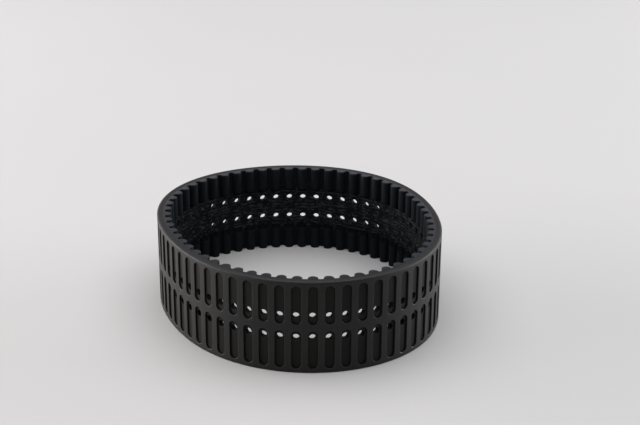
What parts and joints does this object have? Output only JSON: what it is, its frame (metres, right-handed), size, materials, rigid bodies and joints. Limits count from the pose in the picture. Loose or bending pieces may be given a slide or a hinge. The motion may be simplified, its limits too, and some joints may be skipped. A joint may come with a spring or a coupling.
{
  "type": "vacuum timing belt",
  "caption": "Endless toothed belt with a slotted rubber cover and suction holes, for moving parts held by vacuum on a belt conveyor.",
  "frame": {"origin": "under the middle of the loop, in the plane of the edge the belt stands on", "axes": "+Z along the belt's width, across the direction of travel; X and Y in the plane of the loop"},
  "size_m": [0.1536, 0.1636, 0.05],
  "materials": {
    "cover_rubber": "matte, slightly worn charcoal black",
    "back_rubber": "matte, ground rough inside",
    "tooth_rubber": "matte black",
    "nylon_facing": "fine rubbery fabric, faint blue-grey sheen",
    "cord": "twisted glass fibre dipped in rubber"
  },
  "bodies": {
    "root": {"belt_cover": "cover_rubber", "belt_back": "back_rubber", "tooth_rubber_lower": "tooth_rubber", "tooth_rubber_upper": "tooth_rubber", "tooth_facing_lower": "nylon_facing", "tooth_facing_upper": "nylon_facing", "tension_cord_lower_s": "cord", "tension_cord_lower_z": "cord", "tension_cord_middle_s": "cord", "tension_cord_middle_z": "cord", "tension_cord_upper_s": "cord", "tension_cord_upper_z": "cord"}
  },
  "joints": []
}
